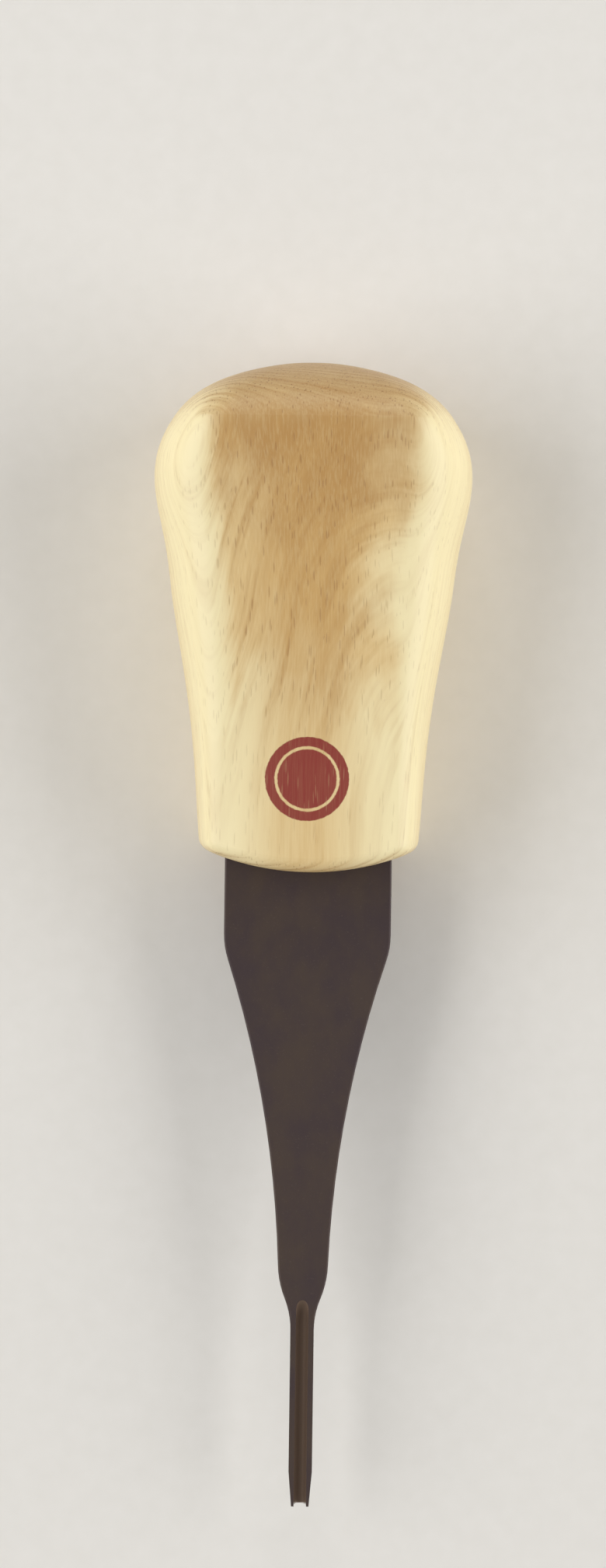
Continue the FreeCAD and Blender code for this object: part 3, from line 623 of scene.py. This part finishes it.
# %% [markdown]
# Two large soft boxes stand left and right, the left one a little higher. They draw the two bright
# bands along the handle that tell the eye it is rounded and lacquered. A weak box behind the butt
# lights its dome. All stand well back, because a near lamp makes a hot patch on the paper beside
# the tool. The camera doesn't see them, so none stands in a low view.

# %% The soft boxes
TOOL_MIDDLE = Vector((0.0, 0.018, 0.011))
LAMP_AWAY = 1.6
NEARLY_ALONG_Y = 0.7
LAMPS = {
    "left_box": {"from_vertical": 58, "turn": 180, "width": 1.50, "length": 1.60, "radiance": 3.1},
    "right_box": {"from_vertical": 66, "turn": 0, "width": 1.36, "length": 1.60, "radiance": 3.4},
    "back_box": {"from_vertical": 62, "turn": 90, "width": 0.92, "length": 0.70, "radiance": 2.3},
}


def soft_box(name, from_vertical, turn, width, length, radiance):
    """An area lamp that faces the tool: degrees from straight above, and round from +X."""
    lean, round_z = math.radians(from_vertical), math.radians(turn)
    away = Vector((math.sin(lean) * math.cos(round_z), math.sin(lean) * math.sin(round_z),
                   math.cos(lean)))
    lamp = bpy.data.lights.new(name, "AREA")
    lamp.shape = "RECTANGLE"
    lamp.size, lamp.size_y = width, length
    lamp.energy = radiance * math.pi * width * length
    box = bpy.data.objects.new(name, lamp)
    along = Vector((0, 1, 0)) if abs(away.y) < NEARLY_ALONG_Y else Vector((1, 0, 0))
    side = along.cross(away).normalized()
    turned = Matrix((side, away.cross(side), away)).transposed().to_4x4()
    box.matrix_world = Matrix.Translation(TOOL_MIDDLE + away * LAMP_AWAY) @ turned
    box.visible_camera = False
    bpy.context.scene.collection.objects.link(box)


for lamp_name, lamp_sizes in LAMPS.items():
    soft_box(lamp_name, **lamp_sizes)

# %% [markdown]
# The walls of the room do two things. They fill the shadows with weak light, and they stand behind
# the tool in a low view and in its reflections. One strength can't be right for both, so the world
# asks what kind of ray looks at it: a ray that lights a matt surface finds it dim, and a ray from
# the camera, or one that a gloss or a glass sends on, finds a pale wall. The paper asks the same
# and fades into that wall far from the tool, as a sheet does that is rolled up behind its subject.

# %% The room
ROOM_FILL, ROOM_WALL = 0.24, 0.74
WALL_TONE = colour(250, 248, 245)
PAPER_FADES = (300.0, 1300.0)


def seen_directly(tree):
    """1 for a ray from the camera, a gloss or a glass, and 0 for one that lights a matt surface."""
    camera_ray = Wire(tree).node("ShaderNodeLightPath", {}, {}, output="Is Camera Ray")
    glossy_ray = camera_ray.beside("Is Glossy Ray")
    return camera_ray.at_least(glossy_ray).at_least(camera_ray.beside("Is Transmission Ray"))


world = bpy.data.worlds.new("studio")
bpy.context.scene.world = world
world.use_nodes = True
plug(world.node_tree.nodes["Background"], Color=WALL_TONE,
     Strength=seen_directly(world.node_tree) * (ROOM_WALL - ROOM_FILL) + ROOM_FILL)

paper_x, paper_y = split(paper_place)[:2]
far = ((paper_x * paper_x + paper_y * paper_y) ** 0.5).rise(*PAPER_FADES)
wall = paper_place.node("ShaderNodeEmission", {}, {"Color": WALL_TONE, "Strength": ROOM_WALL})
sheet = paper_place.node("ShaderNodeMixShader", {}, {
    0: far * seen_directly(paper.node_tree),
    1: Wire(paper.node_tree, paper_shader.outputs["BSDF"]),
    2: wall})
plug(paper.node_tree.nodes["Material Output"], Surface=sheet)
print("room: fill", ROOM_FILL, "and wall", ROOM_WALL)

# %% [markdown]
# ## The camera
#
# The tool is seen from straight above, butt up, almost upright in the frame. An orthographic
# camera would do, but a real one stands about an arm's length away, and the butt, which is nearer
# to it, looks a little larger. So the camera is a perspective one, and its lens follows from how
# many millimetres the frame spans at the height of the plate.

# %% Point the camera
FRAME_WIDE, FRAME_HIGH = 780, 2017
MM_PER_PIXEL = 0.0935
CAMERA_AWAY = 0.75
ROLL = math.radians(0.77)
ORIGIN_PIXEL = (395.6, 1203.2)

right = Vector((math.cos(ROLL), math.sin(ROLL), 0.0))
up = Vector((-math.sin(ROLL), math.cos(ROLL), 0.0))
middle = right * (FRAME_WIDE / 2 - ORIGIN_PIXEL[0]) + up * (ORIGIN_PIXEL[1] - FRAME_HIGH / 2)
middle = middle * MM_PER_PIXEL * MM
lens = bpy.data.cameras.new("bench_camera")
lens.sensor_fit = "VERTICAL"
lens.angle_y = 2 * math.atan(FRAME_HIGH * MM_PER_PIXEL * MM / 2 / CAMERA_AWAY)
camera = bpy.data.objects.new("bench_camera", lens)
camera.matrix_world = Matrix.Translation(
    middle + Vector((0, 0, TOOL_MIDDLE.z + CAMERA_AWAY))) @ Matrix(
    (right, up, right.cross(up))).transposed().to_4x4()
bpy.context.scene.collection.objects.link(camera)
bpy.context.scene.camera = camera
bpy.context.scene.view_settings.view_transform = "Standard"
print(f"the frame spans {FRAME_HIGH * MM_PER_PIXEL:.0f} mm,",
      f"the lens {math.degrees(lens.angle_y):.1f} degrees")
